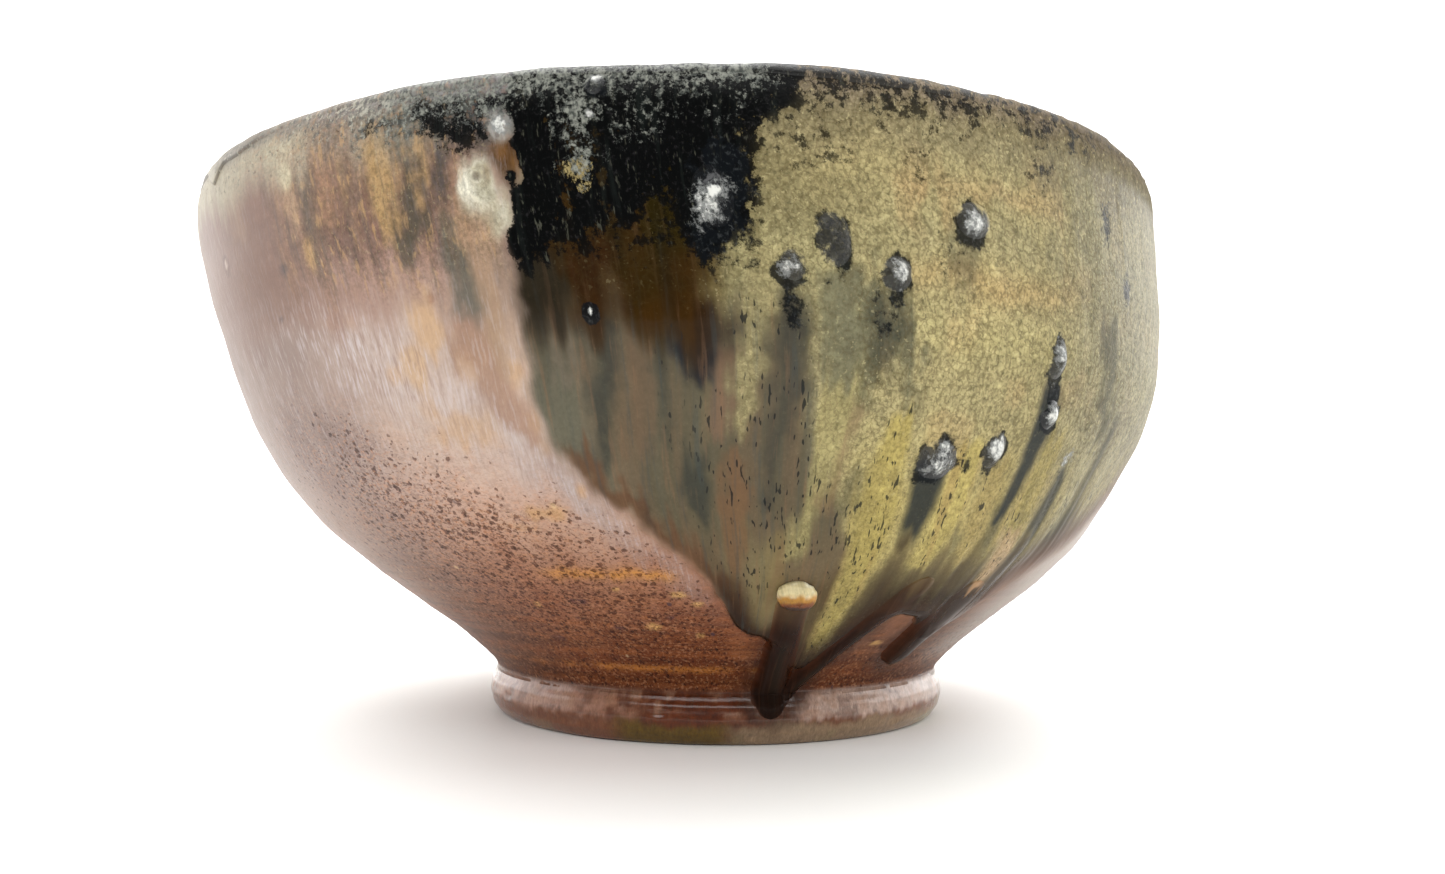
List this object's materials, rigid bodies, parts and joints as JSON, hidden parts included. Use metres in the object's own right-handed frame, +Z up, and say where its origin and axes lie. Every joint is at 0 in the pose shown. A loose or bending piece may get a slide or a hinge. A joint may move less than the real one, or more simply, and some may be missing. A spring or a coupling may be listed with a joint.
{
  "type": "tea bowl",
  "caption": "Wheel-thrown stoneware tea bowl with a slightly leaning wide rim, a luted foot ring, poured liner glaze and a run ash glaze coat with glass drips.",
  "frame": {"origin": "middle of the bounding box, on the plane the foot ring stands on", "axes": "+Z up out of the bowl's mouth; -Y is the side with the star-shaped drip and the wad; the rim leans towards -X"},
  "size_m": [0.1246, 0.1246, 0.0662],
  "materials": {
    "clay": "bare flashed stoneware, satin",
    "foot_clay": "bare flashed stoneware, satin to glossy",
    "liner_glaze": "glossy brown-olive glaze",
    "ash_glaze": "mottled olive ash glaze",
    "run_glaze": "thick dark brown glaze",
    "wad": "pale refractory, dry",
    "drip_glass": "milky fused ash glass"
  },
  "bodies": {
    "root": {"clay_body": "clay", "foot_ring": "foot_clay", "liner_glaze": "liner_glaze", "ash_glaze_coat": "ash_glaze", "wad_lump": "wad", "glaze_run_wad": "run_glaze", "glaze_run_middle": "run_glaze", "glaze_run_side": "run_glaze", "kiln_drip_lip": "drip_glass", "kiln_drip_pale_small": "drip_glass", "kiln_drip_pale_crust": "drip_glass", "kiln_drip_star": "drip_glass", "kiln_drip_bead_a": "drip_glass", "kiln_drip_dark": "drip_glass", "kiln_drip_bead_b": "drip_glass", "kiln_drip_bead_c": "drip_glass", "kiln_drip_tear_upper": "drip_glass", "kiln_drip_tear_lower": "drip_glass", "kiln_drip_crust": "drip_glass", "kiln_drip_tear_low": "drip_glass"}
  },
  "joints": []
}
